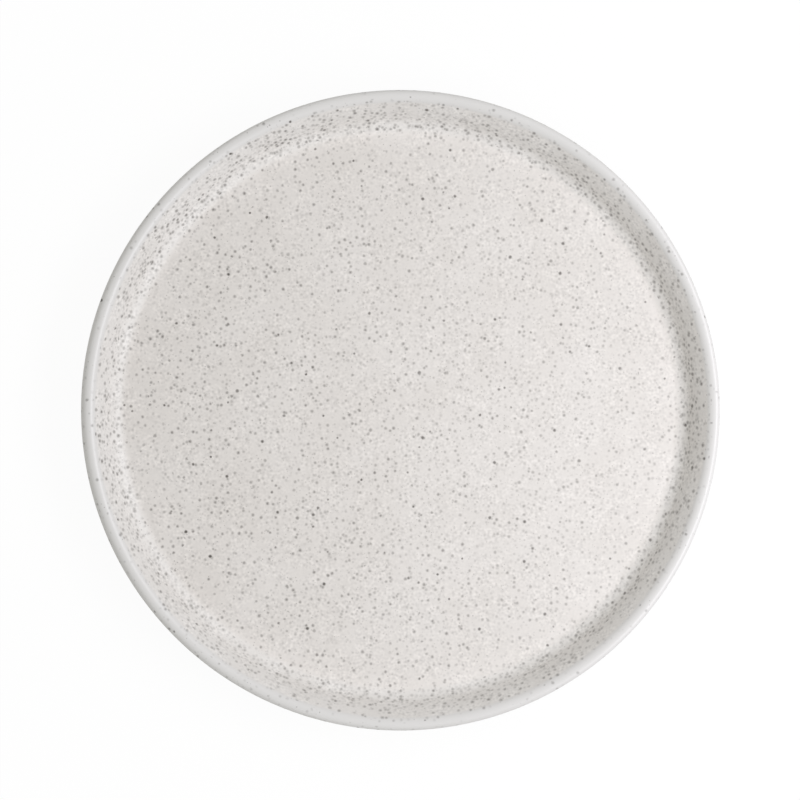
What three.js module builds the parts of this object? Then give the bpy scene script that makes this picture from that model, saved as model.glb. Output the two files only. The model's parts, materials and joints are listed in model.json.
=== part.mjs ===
// A round stoneware dinner plate with a flared wall and a rounded lip, in millimetres, +Z up.
// The origin is the centre of the ring that the plate stands on.
//
// The plate is one revolved section. The clay body is fired with two coats of glaze on it:
// one runs over the face, the lip and the outside down to the foot ring, and the other fills
// the recess inside the foot ring. The foot ring itself is wiped bare, so that it can stand in the kiln.

import * as THREE from "three";

// Finished plate, over the glaze
const PLATE_DIAMETER = 270;
const PLATE_HEIGHT = 24;
const GLAZE_THICKNESS = 0.5;

// Clay body: the wall leaves the cove steeply, flares on its way up and ends in a lip that is rounder inside
const FLOOR_THICKNESS = 5.2;
const COVE_RADIUS = 8.0;
const WALL_SLOPE = THREE.MathUtils.degToRad(66);
const FLARE_SLOPE = THREE.MathUtils.degToRad(51);
const LIP_INNER_RADIUS = 3.4;
const LIP_OUTER_RADIUS = 1.9;
const SHOULDER_RADIUS = 11.0;

// Foot ring, measured on the clay
const FOOT_DIAMETER = 186;
const FOOT_LAND_WIDTH = 4.5;
const FOOT_HEIGHT = 3.5;
const FOOT_DRAFT = THREE.MathUtils.degToRad(20);
const FOOT_ROOT_RADIUS = 1.4;
const FOOT_EDGE_RADIUS = 0.6;

// Edge of the glaze: how far up the foot ring is wiped, and how far the glaze takes to thicken
const FOOT_WIPE_HEIGHT = 1.2;
const GLAZE_EDGE_LENGTH = 1.2;
const GLAZE_EDGE_STEPS = 3;

// Glaze is fused to the clay: this hair of clearance only keeps their facets from crossing
const BOND_CLEARANCE = 0.02;

// Facets: segments round the plate, and the most that a chord may cut off an arc of the section
const SEGMENTS = 64;
const ARC_TOLERANCE = 0.12;

// Points nearer than this to each other are one point
const SAME_POINT = 1e-6;

// The section is a chain of samples { point, normal }, with the normal pointing out of the clay.
// It is drawn clockwise, from the middle of the face over the lip to the middle of the underside.

const quarterTurnLeft = (direction) => new THREE.Vector2(-direction.y, direction.x);

// Rounds the corner between two straight runs with a tangent arc and returns the arc's samples.
function roundedCorner(before, corner, after, radius) {
  const arriving = corner.clone().sub(before).normalize();
  const leaving = after.clone().sub(corner).normalize();
  const turn = Math.atan2(arriving.cross(leaving), arriving.dot(leaving));
  const tangentLength = radius * Math.tan(Math.abs(turn) / 2);
  const start = corner.clone().addScaledVector(arriving, -tangentLength);
  const startNormal = quarterTurnLeft(arriving);
  const towardsCentre = Math.sign(turn);
  const centre = start.clone().addScaledVector(startNormal, towardsCentre * radius);
  const widestStep = 2 * Math.acos(Math.max(0, 1 - ARC_TOLERANCE / radius));
  const steps = Math.max(2, Math.ceil(Math.abs(turn) / widestStep));
  const origin = new THREE.Vector2();
  return Array.from({ length: steps + 1 }, (_, step) => {
    const normal = startNormal.clone().rotateAround(origin, (turn * step) / steps);
    return { point: centre.clone().addScaledVector(normal, -towardsCentre * radius), normal };
  });
}

// Samples a run of straight lines whose inner corners are rounded. On the lip two such arcs meet,
// so a sample that repeats the one before it is dropped.
function sampleSection(corners) {
  const samples = [];
  const add = (sample) => {
    const last = samples.at(-1);
    if (!last || last.point.distanceTo(sample.point) > SAME_POINT) samples.push(sample);
  };
  corners.forEach(({ point, radius }, index) => {
    const before = corners[index - 1]?.point;
    const after = corners[index + 1]?.point;
    if (before && after) {
      roundedCorner(before, point, after, radius).forEach(add);
    } else {
      const [from, to] = before ? [before, point] : [point, after];
      add({ point, normal: quarterTurnLeft(to.clone().sub(from).normalize()) });
    }
  });
  return samples;
}

// Levels of the clay section
const undersideHeight = FOOT_HEIGHT;
const floorHeight = undersideHeight + FLOOR_THICKNESS;
const coveTop = floorHeight + COVE_RADIUS * (1 - Math.cos(WALL_SLOPE));
const lipTop = PLATE_HEIGHT - GLAZE_THICKNESS;
const lipBottom = lipTop - LIP_INNER_RADIUS * (1 - Math.cos(FLARE_SLOPE));

// The lip: a level line over its top meets both faces of the wall, and two arcs round those corners
const lipRidge = PLATE_DIAMETER / 2 - GLAZE_THICKNESS - LIP_OUTER_RADIUS;
const innerLipCorner = new THREE.Vector2(lipRidge - LIP_INNER_RADIUS * Math.tan(FLARE_SLOPE / 2), lipTop);
const outerLipCorner = new THREE.Vector2(lipRidge + LIP_OUTER_RADIUS / Math.tan(FLARE_SLOPE / 2), lipTop);
const wallThickness = (outerLipCorner.x - innerLipCorner.x) * Math.sin(FLARE_SLOPE);

// Where a straight run down from a point, at a slope, reaches a level.
const downTo = (level, from, slope) =>
  new THREE.Vector2(from.x - (from.y - level) / Math.tan(slope), level);

// The flare: one long arc from the end of the cove to the lip, with the outer face parallel to the inner one
const flareTurn = WALL_SLOPE - FLARE_SLOPE;
const flareRadius = (lipBottom - coveTop) / (2 * Math.sin(WALL_SLOPE) * Math.tan(flareTurn / 2));
const innerFlareCorner = downTo((coveTop + lipBottom) / 2, innerLipCorner, FLARE_SLOPE);
const outOfTheWell = new THREE.Vector2(0, -1).rotateAround(new THREE.Vector2(), FLARE_SLOPE + flareTurn / 2);
const outerFlareCorner = innerFlareCorner
  .clone()
  .addScaledVector(outOfTheWell, wallThickness / Math.cos(flareTurn / 2));

// A corner of the foot ring: side is +1 outside and -1 inside, and the flanks lean in towards the land.
function footCorner(side, level) {
  const halfWidth = FOOT_LAND_WIDTH / 2 + level * Math.tan(FOOT_DRAFT);
  return new THREE.Vector2(FOOT_DIAMETER / 2 + side * halfWidth, level);
}

const claySection = sampleSection([
  { point: new THREE.Vector2(0, floorHeight) },
  { point: downTo(floorHeight, innerFlareCorner, WALL_SLOPE), radius: COVE_RADIUS },
  { point: innerFlareCorner, radius: flareRadius },
  { point: innerLipCorner, radius: LIP_INNER_RADIUS },
  { point: outerLipCorner, radius: LIP_OUTER_RADIUS },
  { point: outerFlareCorner, radius: flareRadius - wallThickness },
  { point: downTo(undersideHeight, outerFlareCorner, WALL_SLOPE), radius: SHOULDER_RADIUS },
  { point: footCorner(1, undersideHeight), radius: FOOT_ROOT_RADIUS },
  { point: footCorner(1, 0), radius: FOOT_EDGE_RADIUS },
  { point: footCorner(-1, 0), radius: FOOT_EDGE_RADIUS },
  { point: footCorner(-1, undersideHeight), radius: FOOT_ROOT_RADIUS },
  { point: new THREE.Vector2(0, undersideHeight) },
]);

// A sample part of the way between two others.
function sampleBetween(first, second, share) {
  return {
    point: first.point.clone().lerp(second.point, share),
    normal: first.normal.clone().lerp(second.normal, share).normalize(),
  };
}

// Adds a sample where the section crosses the wiped line, and returns the section's two sides of it.
function splitAtWipedLine(samples) {
  const above = (sample) => sample.point.y > FOOT_WIPE_HEIGHT;
  const index = samples.findIndex((sample, i) => i > 0 && above(samples[i - 1]) !== above(sample));
  const [first, second] = [samples[index - 1], samples[index]];
  const share = (FOOT_WIPE_HEIGHT - first.point.y) / (second.point.y - first.point.y);
  const line = sampleBetween(first, second, share);
  return [
    [...samples.slice(0, index), line],
    [line, ...samples.slice(index)],
  ];
}

const [bareFace, belowFace] = splitAtWipedLine(claySection);
const [bareFoot, bareRecess] = splitAtWipedLine(belowFace);

// Adds samples along the last stretch of a glazed chain, so that the coat can thin out to its edge.
function withGlazeEdge(samples) {
  const lengths = [0];
  for (let i = samples.length - 1; i > 0; i--)
    lengths.unshift(lengths[0] + samples[i].point.distanceTo(samples[i - 1].point));
  const wanted = Array.from(
    { length: GLAZE_EDGE_STEPS },
    (_, step) => GLAZE_EDGE_LENGTH * (1 - step / GLAZE_EDGE_STEPS),
  );
  const result = [];
  samples.forEach((sample, i) => {
    result.push({ ...sample, toEdge: lengths[i] });
    for (const toEdge of wanted) {
      if (toEdge >= lengths[i] || toEdge <= lengths[i + 1]) continue;
      const share = (lengths[i] - toEdge) / (lengths[i] - lengths[i + 1]);
      result.push({ ...sampleBetween(sample, samples[i + 1], share), toEdge });
    }
  });
  return result;
}

const glazedFace = withGlazeEdge(bareFace);
const glazedRecess = withGlazeEdge([...bareRecess].reverse()).reverse();

// A chain moved out from the clay by a height that can change along it.
const movedOut = (samples, heightAt) =>
  samples.map((sample) => sample.point.clone().addScaledVector(sample.normal, heightAt(sample)));

// How far the outside of a coat stands off the clay: its edge at the wiped line is a quarter round.
function glazeHeight({ toEdge }) {
  const share = Math.min(1, toEdge / GLAZE_EDGE_LENGTH);
  return BOND_CLEARANCE + (GLAZE_THICKNESS - BOND_CLEARANCE) * Math.sqrt(share * (2 - share));
}

const pointsOf = (samples) => samples.map((sample) => sample.point);

// Drops a point that repeats the one before it, as the two surfaces of a coat do at its edge.
const withoutRepeats = (points) =>
  points.filter((point, i) => i === 0 || point.distanceTo(points[i - 1]) > SAME_POINT);

// Turns a closed section about the plate's axis.
function revolve(points) {
  const section = withoutRepeats(points).reverse();
  const geometry = new THREE.LatheGeometry(section, SEGMENTS);
  return geometry.rotateX(Math.PI / 2);
}

// A coat of glaze: out along its own surface, and back along the clay that it is fused to.
function coatGeometry(samples) {
  const outside = movedOut(samples, glazeHeight);
  const inside = movedOut(samples, () => BOND_CLEARANCE);
  return revolve([...outside, ...inside.reverse()]);
}

const bodyGeometry = revolve(pointsOf([...glazedFace, ...bareFoot, ...glazedRecess]));

const clay = new THREE.MeshStandardMaterial({ color: 0xc9b79f, roughness: 0.85, metalness: 0 });
const glaze = new THREE.MeshStandardMaterial({ color: 0xdfdbd6, roughness: 0.3, metalness: 0 });

function namedMesh(name, geometry, material) {
  const mesh = new THREE.Mesh(geometry, material);
  mesh.name = name;
  return mesh;
}

const plate = new THREE.Group();
plate.add(
  namedMesh("stoneware_body", bodyGeometry, clay),
  namedMesh("face_glaze", coatGeometry(glazedFace), glaze),
  namedMesh("foot_recess_glaze", coatGeometry(glazedRecess), glaze),
);

export default plate;
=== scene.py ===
# %% [markdown]
# # A speckled stoneware plate
# A stoneware plate is one turned piece of clay under a coat of glaze. Its construction comes ready made
# as a frame of three solids: the clay, the glaze on the face, and the glaze under the foot. We could
# paint those solids as they are, but their facets would show on the lip. So this lesson turns each one
# again, finer and in the same place, and then spends most of its care on the glaze.

# %% Load the frame
import json
import math
from collections import namedtuple

import bmesh
import bpy
import numpy as np
from mathutils.bvhtree import BVHTree
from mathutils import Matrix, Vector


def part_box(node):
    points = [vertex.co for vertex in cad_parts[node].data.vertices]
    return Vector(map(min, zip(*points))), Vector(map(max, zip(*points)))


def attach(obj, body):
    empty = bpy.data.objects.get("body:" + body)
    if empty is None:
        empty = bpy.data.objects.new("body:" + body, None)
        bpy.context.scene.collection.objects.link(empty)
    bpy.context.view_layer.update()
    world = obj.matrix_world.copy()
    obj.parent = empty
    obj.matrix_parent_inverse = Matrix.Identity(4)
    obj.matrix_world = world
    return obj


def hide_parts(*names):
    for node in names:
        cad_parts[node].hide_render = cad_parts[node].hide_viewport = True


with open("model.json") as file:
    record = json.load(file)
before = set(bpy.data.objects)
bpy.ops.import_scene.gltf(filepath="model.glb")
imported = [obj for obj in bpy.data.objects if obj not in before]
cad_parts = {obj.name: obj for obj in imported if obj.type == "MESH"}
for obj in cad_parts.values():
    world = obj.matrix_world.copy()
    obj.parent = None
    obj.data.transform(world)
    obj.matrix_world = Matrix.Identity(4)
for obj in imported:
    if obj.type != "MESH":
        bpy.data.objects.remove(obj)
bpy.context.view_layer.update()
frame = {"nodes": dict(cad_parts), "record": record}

print("The frame holds", ", ".join(sorted(frame["nodes"])))

# %% [markdown]
# ## Sizes
# The frame knows the plate's overall sizes, so we read them there and never type them twice. A box can't
# tell how a wall leans or how round a corner is, so those few values are written down here, as a potter
# would note them beside a drawing of the section. Blender works in metres, and a potter in millimetres.

# %% Read the sizes
MM = 0.001

_, face_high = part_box("face_glaze")
_, clay_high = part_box("stoneware_body")
recess_low, recess_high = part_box("foot_recess_glaze")
mount_at = {mount["name"]: mount["pos_m"] for mount in frame["record"]["mounts"]}

GLAZE = face_high.z - clay_high.z
BOND = 0.02 * MM
WELL_LEVEL = mount_at["well_floor"][2]
FLOOR_LEVEL = WELL_LEVEL - GLAZE
UNDERSIDE_LEVEL = recess_high.z + BOND
FOOT_RADIUS = mount_at["foot_land"][0]
WIPED_LEVEL = recess_low.z

COVE_RADIUS = 8.0 * MM
WALL_SLOPE = math.radians(66)
FLARE_SLOPE = math.radians(51)
LIP_INNER_RADIUS = 3.4 * MM
LIP_OUTER_RADIUS = 1.9 * MM
SHOULDER_RADIUS = 11.0 * MM
FOOT_LAND = 4.5 * MM
FOOT_DRAFT = math.radians(20)
FOOT_ROOT_RADIUS = 1.4 * MM
FOOT_EDGE_RADIUS = 0.6 * MM

print(f"The plate is {2 * face_high.x / MM:.1f} mm across and {face_high.z / MM:.1f} mm high")
print(f"Its glaze is {GLAZE / MM:.2f} mm thick and its well {(face_high.z - WELL_LEVEL) / MM:.1f} mm deep")

# %% [markdown]
# ## The section
# A potter's template has straight runs and round corners, and that is how we draw the section: a flat
# floor, a cove, a wall that flares along one long arc, and a lip that is rounder inside than outside. The
# outside of the wall runs parallel to the inside, down to a shoulder and the foot ring. A point of the
# section is a complex number: the real part is the distance from the axis, and the imaginary part is the
# height. Then turning a direction is one multiplication, and 1j times the way we walk is the way out of
# the clay. A Bezier curve could draw this too, but only true arcs keep the lip and the cove at the radius
# that they should have.

# %% Round one corner
ARC_STEP = math.radians(4)


def unit(step):
    """A step's direction."""
    return step / abs(step)


def rounded(before, corner, after, radius):
    """The points of the arc that replaces a corner, and the way out of the clay at each of them."""
    arriving = unit(corner - before)
    turn = np.angle(unit(after - corner) / arriving)
    start = corner - arriving * radius * math.tan(abs(turn) / 2)
    steps = math.ceil(abs(turn) / ARC_STEP)
    outward = 1j * arriving * np.exp(1j * np.linspace(0, turn, steps + 1))
    centre = start + np.sign(turn) * radius * outward[0]
    return centre - np.sign(turn) * radius * outward, outward


print("A square corner becomes an arc of", len(rounded(-1, 0, 1j, 0.5)[0]), "points")

# %% Follow the whole section
RUN_STEP = 2.5 * MM
TINY = 0.001 * MM
Section = namedtuple("Section", "along points outward")


def follow(corners):
    """Walks along corners, each given as (point, radius), and notes places, distance and the way out."""
    points, outward = [], []
    for index, (corner, radius) in enumerate(corners):
        before, after = corners[max(index - 1, 0)][0], corners[min(index + 1, len(corners) - 1)][0]
        if radius:
            places, ways = rounded(before, corner, after, radius)
        else:
            places, ways = np.array([corner]), np.array([1j * unit(after - before)])
        if points:
            gap = abs(places[0] - points[-1])
            between = np.linspace(points[-1], places[0], math.ceil(gap / RUN_STEP) + 1)[1:-1]
            points.extend(between)
            outward.extend([ways[0]] * len(between))
            if gap < TINY:
                places, ways = places[1:], ways[1:]
        points.extend(places)
        outward.extend(ways)
    points, outward = np.array(points), np.array(outward)
    along = np.concatenate([[0], np.cumsum(np.abs(np.diff(points)))])
    return Section(along, points, outward)


print("A straight run of two steps gets", len(follow([(0, 0), (2 * RUN_STEP, 0)]).points), "points")

# %% Find the corners of the wall
lip_top = clay_high.z
lip_ridge = clay_high.x - LIP_OUTER_RADIUS
lip_bottom = lip_top - LIP_INNER_RADIUS * (1 - math.cos(FLARE_SLOPE))
cove_top = FLOOR_LEVEL + COVE_RADIUS * (1 - math.cos(WALL_SLOPE))

inner_lip = complex(lip_ridge - LIP_INNER_RADIUS * math.tan(FLARE_SLOPE / 2), lip_top)
outer_lip = complex(lip_ridge + LIP_OUTER_RADIUS / math.tan(FLARE_SLOPE / 2), lip_top)
wall_thickness = (outer_lip - inner_lip).real * math.sin(FLARE_SLOPE)


def down_to(level, start, slope):
    """Where a straight run down from a point, at a slope, reaches a level."""
    return complex(start.real - (start.imag - level) / math.tan(slope), level)


flare_turn = WALL_SLOPE - FLARE_SLOPE
flare_radius = (lip_bottom - cove_top) / (2 * math.sin(WALL_SLOPE) * math.tan(flare_turn / 2))
inner_flare = down_to((cove_top + lip_bottom) / 2, inner_lip, FLARE_SLOPE)
out_of_the_well = -1j * np.exp(1j * (FLARE_SLOPE + flare_turn / 2))
outer_flare = inner_flare + out_of_the_well * wall_thickness / math.cos(flare_turn / 2)
cove_corner = down_to(FLOOR_LEVEL, inner_flare, WALL_SLOPE)
well_edge = cove_corner.real - COVE_RADIUS * math.tan(WALL_SLOPE / 2)
print(f"The wall is {wall_thickness / MM:.2f} mm of clay")
print(f"It flares along an arc of {flare_radius / MM:.0f} mm")
print(f"The floor of the well is flat for {2 * well_edge / MM:.1f} mm")


# %% Draw the clay
def foot_corner(side, level):
    """A corner of the foot ring, outside (side 1) or inside (side -1). Its flanks lean in to the land."""
    return FOOT_RADIUS + side * (FOOT_LAND / 2 + level * math.tan(FOOT_DRAFT)) + 1j * level


clay = follow([
    (complex(0, FLOOR_LEVEL), 0),
    (cove_corner, COVE_RADIUS),
    (inner_flare, flare_radius),
    (inner_lip, LIP_INNER_RADIUS),
    (outer_lip, LIP_OUTER_RADIUS),
    (outer_flare, flare_radius - wall_thickness),
    (down_to(UNDERSIDE_LEVEL, outer_flare, WALL_SLOPE), SHOULDER_RADIUS),
    (foot_corner(1, UNDERSIDE_LEVEL), FOOT_ROOT_RADIUS),
    (foot_corner(1, 0), FOOT_EDGE_RADIUS),
    (foot_corner(-1, 0), FOOT_EDGE_RADIUS),
    (foot_corner(-1, UNDERSIDE_LEVEL), FOOT_ROOT_RADIUS),
    (complex(0, UNDERSIDE_LEVEL), 0),
])
print(f"The clay section has {len(clay.points)} points along {clay.along[-1] / MM:.1f} mm")

# %% [markdown]
# ## The wiped foot
# Before firing, the glaze is wiped off the foot with a sponge, or the plate would stick to the kiln
# shelf. So we walk along the section and note where it crosses the wiped level, once on the way down the
# outside and once on the way up into the recess. The two places could be typed in, but found like this
# they follow every size.

# %% Find the wiped lines
levels = clay.points.imag
above_wipe = levels > WIPED_LEVEL
crossings = np.flatnonzero(above_wipe[1:] != above_wipe[:-1])
shares = (WIPED_LEVEL - levels[crossings]) / (levels[crossings + 1] - levels[crossings])
outer_line, inner_line = clay.along[crossings] + shares * np.diff(clay.along)[crossings]
crest = clay.along[np.argmax(levels)]
print(f"The bare foot is {(inner_line - outer_line) / MM:.1f} mm wide along the section")
print(f"The face is {crest / MM:.1f} mm from the axis to the crest of the lip")

# %% [markdown]
# ## The hand and the kiln
# Nothing that comes out of a kiln is quite round: the lip rises and falls by a tenth or two of a
# millimetre, the rim is a little oval, its crest leans half a millimetre to one side and takes the inside
# of the wall with it, and the tool leaves faint rings in the floor. A Displace modifier with a noise
# could roughen each piece by itself. Here one formula moves all three pieces, so they still fit each
# other.

# %% Move a place as hand and kiln do
OVAL = 0.22 * MM
OVAL_TOWARDS = math.radians(97)
# The inside of the lip leans from farther down than the outside, and one side fades into the other
LIP_SIDES = (lip_ridge - 2.0 * MM, lip_ridge + 1.0 * MM)
LEAN_STARTS = (face_high.z - 9.0 * MM, face_high.z - 2.4 * MM)
LEAN_WAVES = ((0, 0.13 * MM, 0.0), (1, 0.47 * MM, -0.31), (2, 0.13 * MM, 2.54), (3, 0.095 * MM, -0.14))
LIP_WAVES = ((2, 0.10 * MM, 0.7), (3, 0.06 * MM, 2.1), (5, 0.03 * MM, 4.0))
TOOL_RING_PITCH = 6.5 * MM
TOOL_RING_DEPTH = 0.006 * MM


def smooth(low, high, value):
    """Rises from 0 at low to 1 at high without a kink, as a smoothstep does."""
    share = np.clip((value - low) / (high - low), 0, 1)
    return share * share * (3 - 2 * share)


def swing(waves, turn):
    """Waves round the plate, added up. Each is given as its count, its depth and where it starts."""
    return sum(depth * np.cos(count * turn + start) for count, depth, start in waves)


def fired(radius, turn, height):
    """Radius and height after hand and kiln have moved them. The ring that it stands on stays flat."""
    outness = (radius / face_high.x) ** 2
    raised = smooth(0, face_high.z, height)
    oval = OVAL * outness * np.cos(2 * (turn - OVAL_TOWARDS))
    lean_starts = np.interp(radius, LIP_SIDES, LEAN_STARTS)
    lean = smooth(lean_starts, face_high.z, height) * swing(LEAN_WAVES, turn)
    rings = TOOL_RING_DEPTH * np.sin(2 * np.pi * radius / TOOL_RING_PITCH)
    return radius + oval + lean, height + raised * (outness * swing(LIP_WAVES, turn) + rings)


print(f"The lip waves by {sum(depth for _, depth, _ in LIP_WAVES) / MM:.2f} mm at most")

# %% [markdown]
# ## Turning
# Blender's Screw modifier would turn a section in one step, but every point of every turn goes its own
# small way here, so we set the points one by one. Each mesh also gets a flat map, or UV map, which says
# where its faces lie on a picture: other programs don't know Blender's nodes, so for them the finish has
# to be baked into a picture. Blender can lay a mesh out by itself, but it would give the hidden side of a
# coat as much room as the face. Here the map is a disc with the axis in its middle, and each step along
# the section gets the width that it deserves.

# %% Turn a section into a mesh
CM = 10 * MM
TURNS = 256
SHARP_EDGE = math.radians(50)
MAP_NAME, MAP_CENTRE, MAP_RADIUS = "OFBake", 0.5 + 0.5j, 0.495
turn_angles = np.linspace(0, 2 * np.pi, TURNS, endpoint=False)


def map_spots(rings, care):
    """Where the rings' points lie on the flat map, if each step from ring to ring deserves this care."""
    reach = np.concatenate([[0], np.cumsum(np.abs(np.diff(rings[:, 0])) * care)])
    return MAP_CENTRE + np.outer(MAP_RADIUS * reach / reach[-1], np.exp(1j * turn_angles))


def turned(name, rings, care):
    """A closed mesh object from rings of section points. The first and last ring are points on the axis."""
    radius, height = fired(rings.real, turn_angles, rings.imag)
    places = np.stack([radius * np.cos(turn_angles), radius * np.sin(turn_angles), height], axis=-1)
    spots = map_spots(rings, care)
    bm = bmesh.new()
    flat_map = bm.loops.layers.uv.new(MAP_NAME)
    rows = [[bm.verts.new(place) for place in row] for row in places[1:-1]]
    first, last = [bm.verts.new((0, 0, row[0, 2])) for row in places[[0, -1]]]
    grid = [[first] * TURNS, *rows, [last] * TURNS]
    for row, column in np.ndindex(len(grid) - 1, TURNS):
        beside = (column + 1) % TURNS
        corners = (row, column), (row + 1, column), (row + 1, beside), (row, beside)
        spot_of = {grid[i][j]: spots[i, j] for i, j in corners}
        for loop in bm.faces.new(list(spot_of)).loops:
            loop[flat_map].uv = spot_of[loop.vert].real, spot_of[loop.vert].imag
    bmesh.ops.recalc_face_normals(bm, faces=bm.faces)
    volume = bm.calc_volume(signed=True)
    print(f"{name}: {len(bm.faces)} faces round {volume / CM ** 3:.1f} cubic centimetres")
    mesh = bpy.data.meshes.new(name)
    bm.to_mesh(mesh)
    bm.free()
    mesh.shade_smooth()
    mesh.set_sharp_from_angle(angle=SHARP_EDGE)
    piece = bpy.data.objects.new(name, mesh)
    bpy.context.scene.collection.objects.link(piece)
    return piece


# %% Turn the clay
HIDDEN_CARE = 0.05
LINE_WANDER = 1.0 * MM

middles = (clay.along[1:] + clay.along[:-1]) / 2
bare = (middles > outer_line - LINE_WANDER) & (middles < inner_line + LINE_WANDER)
clay_rings = np.repeat(clay.points[:, np.newaxis], TURNS, axis=1)
body = turned("clay_body", clay_rings, np.where(bare, 1.0, HIDDEN_CARE))

# %% [markdown]
# ## The coats
# Glaze goes on as a coat of even thickness. Where it was wiped, its edge melts into a low round bead, and
# a sponge never leaves a straight line. A Solidify modifier gives a coat, but not its edge. So the coat
# is drawn by distance along the clay section: near its edge it swells, thins and wanders a little up and
# down the foot.

# %% Draw a coat
EDGE_LENGTH = 1.2 * MM
EDGE_STEPS = 9
BEAD = 0.10 * MM
BEAD_LENGTH = 3.0 * MM
WIPE_WAVES = ((7, 0.14 * MM, 0.3), (13, 0.08 * MM, 1.9), (29, 0.05 * MM, 5.2))
OUTSIDE_CARE = 0.5


def coat_places(start, edge):
    """Distances along the clay section from start, on the axis, to a coat's edge, where they lie closer."""
    low, high = sorted((start, edge))
    inside = clay.along[(clay.along > low + TINY) & (clay.along < high - TINY)]
    plain = inside[np.abs(inside - edge) >= EDGE_LENGTH]
    fine = edge + np.sign(start - edge) * EDGE_LENGTH * np.linspace(1, 0, EDGE_STEPS + 1) ** 2
    along = np.concatenate([[start], plain, fine])
    return along[np.argsort(np.abs(along - start))]


def coat_rings(start, edge):
    """Rings of a coat that covers the clay from start to its edge, and the care that each step deserves."""
    along = coat_places(start, edge)
    to_edge = np.abs(along - edge)
    share = np.clip(to_edge / EDGE_LENGTH, 0, 1)
    bead = BEAD * smooth(0, EDGE_LENGTH, to_edge) * (1 - smooth(EDGE_LENGTH, BEAD_LENGTH, to_edge))
    thickness = BOND + (GLAZE - BOND) * np.sqrt(share * (2 - share)) + bead

    slide = np.outer(1 - smooth(0, BEAD_LENGTH, to_edge), swing(WIPE_WAVES, turn_angles))
    places = np.interp(along[:, np.newaxis] + slide, clay.along, clay.points)
    ways = np.interp(along[:, np.newaxis] + slide, clay.along, clay.outward)
    outside = places + ways * thickness[:, np.newaxis]
    against_clay = places + ways * BOND
    shown = np.where(along[1:] <= crest, 1.0, OUTSIDE_CARE)
    care = np.concatenate([shown, np.full_like(shown, HIDDEN_CARE)])
    return np.concatenate([outside, against_clay[-2::-1]]), care


print("The coat of the face is drawn at", len(coat_places(0, outer_line)), "places along the clay")

# %% Turn the coats
face_coat = turned("face_glaze_coat", *coat_rings(0, outer_line))
recess_coat = turned("foot_recess_glaze_coat", *coat_rings(clay.along[-1], inner_line))


# %% Compare with the frame
def farthest(piece, node):
    """The largest distance, in millimetres, from a corner of the frame's solid to the new surface."""
    tree = BVHTree.FromObject(piece, bpy.context.evaluated_depsgraph_get())
    return max(tree.find_nearest(corner.co)[3] for corner in frame["nodes"][node].data.vertices) / MM


STANDS_FOR = {body: "stoneware_body", face_coat: "face_glaze", recess_coat: "foot_recess_glaze"}
bpy.context.view_layer.update()
for piece, node in STANDS_FOR.items():
    print(f"{piece.name} lies within {farthest(piece, node):.2f} mm of {node}")

# %% [markdown]
# ## A few words for shader nodes
# A finish is a graph of nodes, and a long one is hard to read when every link takes two lines. These
# helpers name what a link does: add a node and plug its inputs, do a sum, or fade from one value to
# another. Each returns a socket, so that a finish reads like a formula.

# %% Helpers for sums
def add(tree, kind, plugs, **settings):
    """Adds a node, sets it up and plugs its inputs with sockets or values."""
    node = tree.nodes.new(kind)
    for name, value in settings.items():
        setattr(node, name, value)
    for name, value in plugs.items():
        if isinstance(value, bpy.types.NodeSocket):
            tree.links.new(value, node.inputs[name])
        else:
            node.inputs[name].default_value = value
    return node


def sums(tree, operation, first, second):
    """One step of arithmetic."""
    return add(tree, "ShaderNodeMath", {0: first, 1: second}, operation=operation).outputs[0]


def vectors(tree, operation, first, second):
    """One step of arithmetic on places or colours."""
    return add(tree, "ShaderNodeVectorMath", {0: first, 1: second}, operation=operation).outputs[0]


def dot(tree, first, second):
    """How far one vector goes along another."""
    step = add(tree, "ShaderNodeVectorMath", {0: first, 1: second}, operation="DOT_PRODUCT")
    return step.outputs["Value"]


def length(tree, step):
    """How long a vector is."""
    return add(tree, "ShaderNodeVectorMath", {0: step}, operation="LENGTH").outputs["Value"]


print("Sums:", ", ".join(helper.__name__ for helper in (add, sums, vectors, dot, length)))

# %% Helpers for soft changes
MOST_NOISE, NOISE_MIDDLE = (0.3, 0.7), 0.5


def fade(tree, value, low, high, at_low=0.0, at_high=1.0):
    """A smooth change from at_low to at_high while value goes from low to high."""
    plugs = {"Value": value, "From Min": low, "From Max": high, "To Min": at_low, "To Max": at_high}
    return add(tree, "ShaderNodeMapRange", plugs, interpolation_type="SMOOTHSTEP").outputs[0]


def blend(tree, share, first, second):
    """A smooth change from first to second while share goes from 0 to 1."""
    return fade(tree, share, 0.0, 1.0, first, second)


def cloud(tree, place, size, detail=2.0):
    """Soft noise from 0 to 1, mostly within MOST_NOISE, whose patches are about size metres across."""
    plugs = {"Vector": place, "Scale": 1 / size, "Detail": detail}
    return add(tree, "ShaderNodeTexNoise", plugs).outputs[0]


def tint(tree, share, first, second):
    """A colour that goes from first to second as share goes from 0 to 1."""
    plugs = {"Factor": share, 6: first, 7: second}
    return add(tree, "ShaderNodeMix", plugs, data_type="RGBA").outputs[2]


def new_finish(name):
    """An empty material with its Principled shader, and the place on the piece in metres."""
    finish = bpy.data.materials.new(name)
    finish.use_nodes = True
    tree = finish.node_tree
    place = add(tree, "ShaderNodeTexCoord", {}).outputs["Object"]
    return finish, tree, tree.nodes["Principled BSDF"], place


print("Soft changes:", ", ".join(helper.__name__ for helper in (fade, blend, cloud, tint)))

# %% [markdown]
# ## The specks
# Grains of iron in the clay melt through the glaze as specks. They are balls in the thickness of the
# clay, cut by its surface, so we make them that way: a Voronoi texture scatters points through space, and
# each point within a speck's reach darkens the surface. Painting dots on a flat map would squeeze them on
# the wall, but in space they keep their size on any slope. Each point also throws three dice: for its
# size, for how dark it is, and for whether it comes through the glaze at all. Voronoi has a colour for
# each point, but that only repeats where the point lies in its cell, so the dice are white noise, thrown
# once for each cell.

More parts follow.
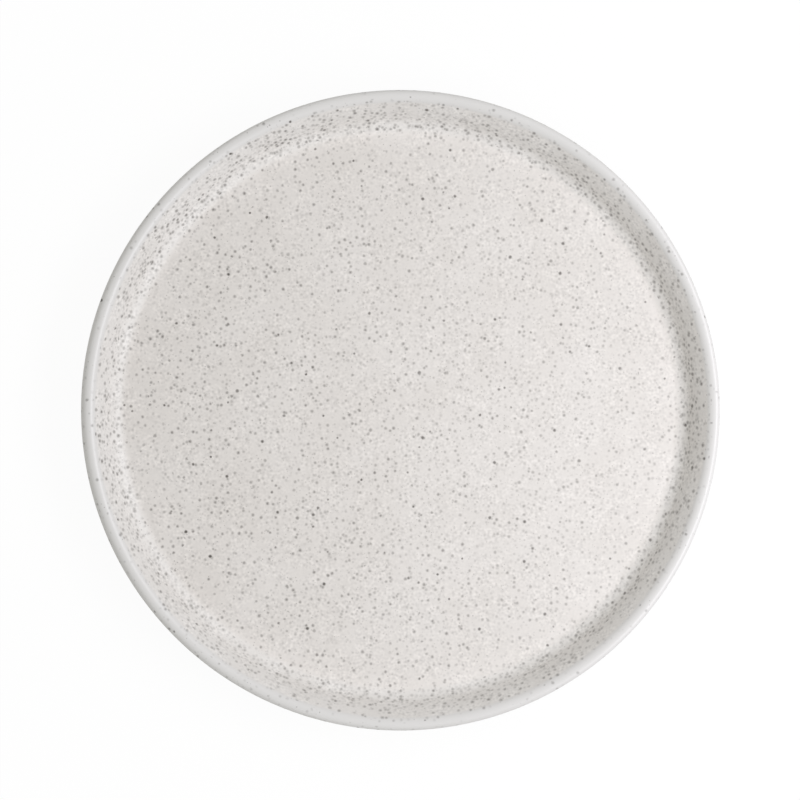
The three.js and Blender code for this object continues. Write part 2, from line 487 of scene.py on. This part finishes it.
# %% Scatter one size of speck
# For each size: how far apart the specks lie, how far the largest reaches, the smallest as a share of
# that, how much of the edge is soft, how dark the darkest is, the faintest as a share of that, a shift in
# cells that keeps this size off the others, and the shares that show in the well and on the wall
Speck = namedtuple("Speck", "cell reach smallest softness darkest faintest shift well wall")


def throw_dice(tree, point, cell):
    """Three numbers from 0 to 1 for each Voronoi point, which say nothing about where it lies."""
    whose = vectors(tree, "SNAP", point, (cell,) * 3)
    dice = add(tree, "ShaderNodeTexWhiteNoise", {"Vector": whose}).outputs["Color"]
    return add(tree, "ShaderNodeSeparateColor", {"Color": dice}).outputs


def scatter(tree, place, speck, share, swell, rarity):
    """How dark specks of one size make a place, if a share comes through and dark ones are a rarity."""
    moved = vectors(tree, "ADD", place, (speck.shift * speck.cell,) * 3)
    cells = add(tree, "ShaderNodeTexVoronoi", {"Vector": moved, "Scale": 1 / speck.cell}).outputs
    luck = throw_dice(tree, cells["Position"], speck.cell)

    reach = speck.reach / speck.cell
    size = sums(tree, "MULTIPLY", blend(tree, luck[0], speck.smallest * reach, reach), swell)
    core = sums(tree, "MULTIPLY", size, 1 - speck.softness)
    spot = fade(tree, cells["Distance"], core, size, 1.0, 0.0)

    rarely = sums(tree, "POWER", luck[1], rarity)
    strength = blend(tree, rarely, speck.faintest * speck.darkest, speck.darkest)
    comes_through = sums(tree, "LESS_THAN", luck[2], share)
    return sums(tree, "MULTIPLY", sums(tree, "MULTIPLY", spot, strength), comes_through)


print("A speck is told by its", ", ".join(Speck._fields))

# %% [markdown]
# One size of speck looks like print. Real ones run from faint dust to a few dark blots, so several sizes
# lie over each other, and the darkest at a place wins. Each size has its own share in the well and on the
# wall, where the glaze is thin and a whole crop shows that the well hides. A little noise bends the space
# that they are scattered in, so that no speck is a perfect disc.

# %% Scatter every size of speck
SPECKS = (
    Speck(1.55 * MM, 0.40 * MM, smallest=0.91, softness=0.65, darkest=0.40, faintest=0.31,
          shift=0, well=1.0, wall=1.0),
    Speck(2.15 * MM, 1.14 * MM, smallest=0.81, softness=0.97, darkest=0.68, faintest=0.25,
          shift=31, well=1.0, wall=1.0),
    Speck(2.45 * MM, 1.15 * MM, smallest=0.81, softness=0.97, darkest=0.82, faintest=0.25,
          shift=43, well=0.0, wall=0.9),
    Speck(4.60 * MM, 1.06 * MM, smallest=0.62, softness=0.68, darkest=0.92, faintest=0.27,
          shift=67, well=1.0, wall=0.6),
)
WELL_RARITY = 1.75
SPECK_WOBBLE = 0.20 * MM
SPECK_WOBBLE_SIZE = 0.9 * MM


def wobbled(tree, place):
    """A place moved a little, so that round specks scattered there get ragged outlines."""
    plugs = {"Vector": place, "Scale": 1 / SPECK_WOBBLE_SIZE, "Detail": 1.0}
    noise = add(tree, "ShaderNodeTexNoise", plugs).outputs["Color"]
    centred = vectors(tree, "SUBTRACT", noise, (NOISE_MIDDLE,) * 3)
    return vectors(tree, "ADD", place, vectors(tree, "MULTIPLY", centred, (2 * SPECK_WOBBLE,) * 3))


def all_specks(tree, place, on_wall=0.0, thinning=1.0, swell=1.0, rarity=WELL_RARITY):
    """Specks of every size together, each with a ragged outline, as they are in the well or on the wall."""
    ragged = wobbled(tree, place)
    dark = 0.0
    for speck in SPECKS:
        share = sums(tree, "MULTIPLY", blend(tree, on_wall, speck.well, speck.wall), thinning)
        dark = sums(tree, "MAXIMUM", dark, scatter(tree, ragged, speck, share, swell, rarity))
    return dark


print("Specks reach", ", ".join(f"{speck.reach / MM:.2f} mm" for speck in SPECKS))

# %% [markdown]
# ## Places on the glaze
# Glaze runs a little before it sets. It is thickest round the edge of the well, where it hides many
# specks, and thin on the wall, where they come through larger and darker. The lip has the fewest. In the
# well the specks are painted fainter towards the lamp's side, a painted sheen of the lamp. On the wall
# the coat is a little thicker on one side, and the specks are fainter there. We could paint a mask for
# each of these places, but three numbers already tell them apart: the distance from the axis, the
# height, and how far the surface faces the axis, as only the wall of the well does.

# %% Find where the specks come through
POOL_SHARE, RIM_SHARE, LIP_SHARE = 0.70, 0.52, 0.12
WALL_SWELL, WALL_RARITY = 1.18, 1.0
POOL_STARTS, POOL_ENDS = well_edge - 25 * MM, well_edge - 3 * MM
WALL_STARTS, WALL_ENDS = 0.09, 0.49
STEEP_STARTS, STEEP_ENDS = 0.13, 0.67
SPECKS_THIN_OUT, RIM_STARTS = cove_top - 2.0 * MM, face_high.z - 3.0 * MM
SPECKS_FADE, SPECKS_END = face_high.z - 1.6 * MM, face_high.z + 0.2 * MM
# The lamp's side of the well, and the painted sheen that makes the specks fainter towards it
WELL_LAMP_SIDE, WELL_PAINTED_SHEEN = math.radians(0), (1.18, 0.85)
WALL_THICK_TOWARDS, WALL_DRIFT = math.radians(-90), (1.06, 0.88)


def radius_and_height(tree, place):
    """How far a place lies from the plate's axis, and how high."""
    flat = vectors(tree, "MULTIPLY", place, (1, 1, 0))
    return length(tree, flat), add(tree, "ShaderNodeSeparateXYZ", {"Vector": place}).outputs["Z"]


def facing_the_axis(tree, place):
    """1 where the surface faces the plate's axis, as a steep wall of the well does, 0 or less elsewhere."""
    flat = vectors(tree, "MULTIPLY", place, (-1, -1, 0))
    inward = add(tree, "ShaderNodeVectorMath", {0: flat}, operation="NORMALIZE").outputs[0]
    normal = add(tree, "ShaderNodeTexCoord", {}).outputs["Normal"]
    return dot(tree, inward, normal)


def drift(tree, place, towards, values, ends=(-1.0, 1.0)):
    """A slow change of value towards one side of the plate, between ends that are given in plate radii."""
    way = (math.cos(towards) / face_high.x, math.sin(towards) / face_high.x, 0)
    return fade(tree, dot(tree, place, way), *ends, *values)


def glaze_specks(tree, place, radius, height, facing):
    """The specks of the glaze, as many and as large as they are in the well, on the wall and on the lip,
    and fainter under a painted sheen on the lamp's side of the well.
    """
    on_wall = fade(tree, facing, WALL_STARTS, WALL_ENDS)
    in_well = fade(tree, radius, POOL_STARTS, POOL_ENDS, 1.0, POOL_SHARE)
    up_the_wall = fade(tree, height, SPECKS_THIN_OUT, RIM_STARTS, 1.0, RIM_SHARE)
    below_the_lip = blend(tree, on_wall, in_well, up_the_wall)
    thinning = fade(tree, height, SPECKS_FADE, SPECKS_END, below_the_lip, LIP_SHARE)
    steep = fade(tree, height, RIM_STARTS, SPECKS_END, fade(tree, facing, STEEP_STARTS, STEEP_ENDS), 0.0)
    swell = blend(tree, steep, 1.0, WALL_SWELL)
    rarity = blend(tree, steep, WELL_RARITY, WALL_RARITY)
    dark = all_specks(tree, place, on_wall, thinning, swell, rarity)

    # Painted sheen: the specks in the well are fainter towards the lamp's side
    well_painted_sheen = drift(tree, place, WELL_LAMP_SIDE, WELL_PAINTED_SHEEN)
    wall_drift = drift(tree, place, WALL_THICK_TOWARDS, WALL_DRIFT)
    return sums(tree, "MULTIPLY", dark, blend(tree, on_wall, well_painted_sheen, wall_drift))


print(f"Of the specks in the well, {POOL_SHARE:.0%} show at its edge and {LIP_SHARE:.0%} on the lip")

# %% [markdown]
# ## The glaze
# The glaze is a warm off-white with a satin shine. It drifts by a hair from place to place, in colour and
# in shine, and has a fine grain that comes and goes. Round the edge of the well it is painted paler, as
# painted light, and least so on the side away from the lamp. On the wall it is cooler, and the lip is
# cooler still and smoother. A finish like this could be several materials with seams between them, but
# one Principled shader keeps every change soft. Its gloss stays on its own sockets, and nodes drive only
# what changes over the surface.

# %% Tint the glaze
WHITE = (1, 1, 1, 1)
GLAZE_WARM = (0.689, 0.657, 0.6285, 1)
GLAZE_PALE = (0.713, 0.683, 0.6575, 1)
GLAZE_LIP = (0.669, 0.658, 0.648, 1)
WALL_TINT = (1.0, 1.014, 1.024, 1)
IRON = (0.075, 0.066, 0.056, 1)
MOTTLE_SIZE = 24 * MM
GRAIN_SIZE, GRAIN_PATCH, GRAIN_RANGE = 1.1 * MM, 8 * MM, (0.35, 0.65)
GRAIN_WEAKEST, GRAIN_STRONGEST = 0.084, 0.42
# Painted light: the glaze round the edge of the well is lighter, most on the lamp's side
PAINTED_LIGHT_AT_WELL_EDGE = 0.05
PALE_STARTS, PALE_DRIFT_ENDS = (well_edge + 1 * MM, well_edge - 7 * MM), (-1.0, -0.4)
PALE_FULL, PALE_ENDS = well_edge + 4 * MM, cove_top + 4 * MM


def glaze_tone(tree, place, radius, height):
    """How much lighter or darker than its tint the glaze is, by painted light round the edge of the well
    and by its grain.
    """
    # Painted light round the edge of the well, reaching farther in on the lamp's side
    edge_light_starts = drift(tree, place, WELL_LAMP_SIDE, PALE_STARTS, PALE_DRIFT_ENDS)
    painted_edge_light = fade(tree, radius, edge_light_starts, PALE_FULL, 1.0, 1.0 + PAINTED_LIGHT_AT_WELL_EDGE)
    painted_edge_light = fade(tree, height, cove_top, PALE_ENDS, painted_edge_light, 1.0)
    grain = sums(tree, "SUBTRACT", cloud(tree, place, GRAIN_SIZE, detail=0.0), NOISE_MIDDLE)
    strength = fade(tree, cloud(tree, place, GRAIN_PATCH), *GRAIN_RANGE, GRAIN_WEAKEST, GRAIN_STRONGEST)
    return sums(tree, "ADD", sums(tree, "MULTIPLY", grain, strength), painted_edge_light)


def glaze_colour(tree, place, radius, height, facing, on_lip):
    """The colour of the glaze with its specks."""
    mottle = fade(tree, cloud(tree, place, MOTTLE_SIZE), *MOST_NOISE)
    colour = tint(tree, mottle, GLAZE_WARM, GLAZE_PALE)
    tone = glaze_tone(tree, place, radius, height)
    colour = add(tree, "ShaderNodeVectorMath", {0: colour, "Scale": tone}, operation="SCALE").outputs[0]
    thin = tint(tree, fade(tree, facing, WALL_STARTS, WALL_ENDS), WHITE, WALL_TINT)
    colour = tint(tree, on_lip, vectors(tree, "MULTIPLY", colour, thin), GLAZE_LIP)
    return tint(tree, glaze_specks(tree, place, radius, height, facing), colour, IRON)


# The lighter edge of the well is painted light
print(f"The glaze is {PAINTED_LIGHT_AT_WELL_EDGE:.0%} lighter where it pools")

# %% Mix the glaze
LIP_STARTS, LIP_ENDS = face_high.z - 2.2 * MM, face_high.z - 1.1 * MM
DULL_PATCH, GLAZE_DULLNESS, LIP_DULLNESS = 5 * MM, (0.48, 0.55), 0.36
PEEL_SIZE, PEEL_DEPTH = 7 * MM, 0.02 * MM
GLAZE_IOR = 1.58


def mix_glaze():
    """The finish of both coats."""
    finish, tree, shader, place = new_finish("iron_speckled_glaze")
    radius, height = radius_and_height(tree, place)
    facing = facing_the_axis(tree, place)
    on_lip = fade(tree, height, LIP_STARTS, LIP_ENDS)
    tree.links.new(glaze_colour(tree, place, radius, height, facing, on_lip), shader.inputs["Base Color"])

    dull = fade(tree, cloud(tree, place, DULL_PATCH), *MOST_NOISE, *GLAZE_DULLNESS)
    tree.links.new(blend(tree, on_lip, dull, LIP_DULLNESS), shader.inputs["Roughness"])

    peel = cloud(tree, place, PEEL_SIZE, detail=1.0)
    bump = add(tree, "ShaderNodeBump", {"Height": peel, "Strength": 1.0, "Distance": PEEL_DEPTH})
    tree.links.new(bump.outputs[0], shader.inputs["Normal"])
    shader.inputs["IOR"].default_value = GLAZE_IOR
    return finish


glaze_finish = mix_glaze()
print("The glaze has", len(glaze_finish.node_tree.nodes), "nodes")

# %% [markdown]
# ## The bare clay
# Only the foot ring shows the clay itself. Stoneware fires to a sandy buff, rough as fine paper, with
# dark grains of iron in it. It could share the glaze's nodes with the shine taken off, but sand wants its
# own sharp grain and a bump that follows it.

# %% Mix the clay
CLAY_BUFF = (0.560, 0.430, 0.300, 1)
CLAY_SAND = (0.700, 0.580, 0.440, 1)
CLAY_IRON = (0.090, 0.055, 0.035, 1)
SAND_SIZE, SAND_DEPTH = 0.5 * MM, 0.06 * MM
CLAY_PATCH, CLAY_RANGE = 9 * MM, (0.7, 1.3)
CLAY_DULLNESS = (0.82, 0.95)


def mix_clay():
    """The finish of the bare foot ring."""
    finish, tree, shader, place = new_finish("bare_stoneware")
    sand = cloud(tree, place, SAND_SIZE, detail=4.0)
    patches = cloud(tree, place, CLAY_PATCH)
    sandy = fade(tree, sums(tree, "ADD", sand, patches), *CLAY_RANGE)
    colour = tint(tree, sandy, CLAY_BUFF, CLAY_SAND)
    tree.links.new(tint(tree, all_specks(tree, place), colour, CLAY_IRON), shader.inputs["Base Color"])
    tree.links.new(fade(tree, sand, *MOST_NOISE, *CLAY_DULLNESS), shader.inputs["Roughness"])
    bump = add(tree, "ShaderNodeBump", {"Height": sand, "Strength": 1.0, "Distance": SAND_DEPTH})
    tree.links.new(bump.outputs[0], shader.inputs["Normal"])
    return finish


clay_finish = mix_clay()
print("The clay has", len(clay_finish.node_tree.nodes), "nodes")

# %% [markdown]
# ## Dressing the frame
# Each new piece takes a finish, rides on the plate's only body, and stands for the solid that it was
# turned from. The frame's own solids stay in the file for the physics, but they no longer show.

# %% Dress the frame
FINISH = {
    body: (clay_finish, "stoneware"),
    face_coat: (glaze_finish, "speckled_glaze"),
    recess_coat: (glaze_finish, "speckled_glaze"),
}
for piece, (finish, slot) in FINISH.items():
    piece.data.materials.append(finish)
    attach(piece, "root")
    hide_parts(STANDS_FOR[piece])
    print(f"{piece.name} wears {finish.name}")

# %% [markdown]
# ## The floor
# The plate lies on plain white. A floor lit by the same lamps as the plate would come out grey, so its
# material adds a glow that only the camera and mirror-like surfaces see. The glow doesn't light the
# plate, and the part of the floor that isn't glow still takes the plate's soft shadow. Away from the
# plate it is all glow, so that no horizon shows.

# %% Lay the floor
FLOOR_SIDE = 6.0
FLOOR_GLOW = 0.94
ALL_GLOW_STARTS, ALL_GLOW_ENDS = 0.14, 0.40
FLOOR_PAINT = (0.7, 0.7, 0.7, 1)


def seen_directly(tree):
    """1 for rays from the camera, off a glossy surface or through a clear one, 0 for light on its way."""
    path = add(tree, "ShaderNodeLightPath", {}).outputs
    shown = sums(tree, "MAXIMUM", path["Is Camera Ray"], path["Is Glossy Ray"])
    return sums(tree, "MAXIMUM", shown, path["Is Transmission Ray"])


def lay_floor():
    """Adds the floor, as part of the stage and not of the plate."""
    bpy.ops.mesh.primitive_plane_add(size=FLOOR_SIDE)
    floor = bpy.context.object
    floor.name = "floor"
    finish = bpy.data.materials.new("white_floor")
    finish.use_nodes = True
    tree = finish.node_tree
    tree.nodes.remove(tree.nodes["Principled BSDF"])
    seen = seen_directly(tree)
    paint = add(tree, "ShaderNodeBsdfDiffuse", {"Color": tint(tree, seen, FLOOR_PAINT, WHITE)}).outputs[0]
    glow = add(tree, "ShaderNodeEmission", {"Color": WHITE, "Strength": 1.0}).outputs[0]
    place = add(tree, "ShaderNodeTexCoord", {}).outputs["Object"]
    glowing = fade(tree, length(tree, place), ALL_GLOW_STARTS, ALL_GLOW_ENDS, FLOOR_GLOW, 1.0)
    share = sums(tree, "MULTIPLY", seen, glowing)
    mixed = add(tree, "ShaderNodeMixShader", {0: share, 1: paint, 2: glow}).outputs[0]
    tree.links.new(mixed, tree.nodes["Material Output"].inputs["Surface"])
    floor.data.materials.append(finish)


lay_floor()
print(f"The floor is {FLOOR_SIDE:.0f} m square")

# %% [markdown]
# ## The light
# One soft lamp hangs on the right, half-way up and quite near, so the right wall lies in its own shade,
# the left wall is lit, and the well grows dimmer away from the lamp. Everything else is the even light of
# a white room. A second lamp would be simpler to aim, but two lamps make two highlights, and the glaze
# shows only one.

# %% Set the light
ROOM_LIGHT = 0.58
ROOM_COLOUR = (1.0, 1.0, 0.956, 1)
LAMP_FROM = math.radians(-7)
LAMP_RISE = math.radians(53)
LAMP_DISTANCE = 0.60
LAMP_WIDTH, LAMP_HEIGHT = 0.66, 0.22
LAMP_COLOUR = (0.98, 0.98, 1.04)
LAMP_WATTS = 2.44


def hang_lamp():
    """Adds the one lamp, aimed at the plate and out of sight."""
    lamp = bpy.data.lights.new("window_lamp", "AREA")
    lamp.energy = LAMP_WATTS
    lamp.color = LAMP_COLOUR
    lamp.shape = "RECTANGLE"
    lamp.size = LAMP_WIDTH
    lamp.size_y = LAMP_HEIGHT
    holder = bpy.data.objects.new("window_lamp", lamp)
    level = LAMP_DISTANCE * math.cos(LAMP_RISE)
    holder.location = (
        level * math.cos(LAMP_FROM),
        level * math.sin(LAMP_FROM),
        LAMP_DISTANCE * math.sin(LAMP_RISE),
    )
    holder.rotation_mode = "QUATERNION"
    holder.rotation_quaternion = holder.location.to_track_quat("Z", "Y")
    holder.visible_camera = False
    bpy.context.scene.collection.objects.link(holder)


def light_room():
    """Adds the even light of the room, which looks white where it is seen directly."""
    world = bpy.data.worlds.new("white_room")
    world.use_nodes = True
    tree = world.node_tree
    seen = seen_directly(tree)
    strength = blend(tree, seen, ROOM_LIGHT, 1.0)
    tree.links.new(strength, tree.nodes["Background"].inputs["Strength"])
    colour = tint(tree, seen, ROOM_COLOUR, WHITE)
    tree.links.new(colour, tree.nodes["Background"].inputs["Color"])
    bpy.context.scene.world = world


hang_lamp()
light_room()
print(f"The lamp gives {LAMP_WATTS} W from {LAMP_DISTANCE} m")

# %% [markdown]
# ## The camera
# The picture looks straight down, with the plate a little below the middle. A long lens from a metre away
# keeps the wall from leaning. The lens could be tried by eye, but the plate's width in the picture fixes
# it: so many millimetres of plate have to fill so many of the picture's points.

# %% Place the camera
PICTURE_SIDE = 800
PLATE_IN_PICTURE = 639.8
PLATE_RIGHT_OF_MIDDLE = 0.27
PLATE_BELOW_MIDDLE = 10.35
CAMERA_HEIGHT = 1.0

point_size = 2 * face_high.x / PLATE_IN_PICTURE
eye = bpy.data.cameras.new("camera")
eye.lens = eye.sensor_width * CAMERA_HEIGHT / (PICTURE_SIDE * point_size)
camera = bpy.data.objects.new("camera", eye)
camera.location = (
    -PLATE_RIGHT_OF_MIDDLE * point_size,
    PLATE_BELOW_MIDDLE * point_size,
    lip_bottom + CAMERA_HEIGHT,
)
bpy.context.scene.collection.objects.link(camera)
bpy.context.scene.camera = camera
bpy.context.scene.view_settings.view_transform = "Standard"
print(f"The lens is {eye.lens:.1f} mm, and a point of the picture is {point_size / MM:.3f} mm")
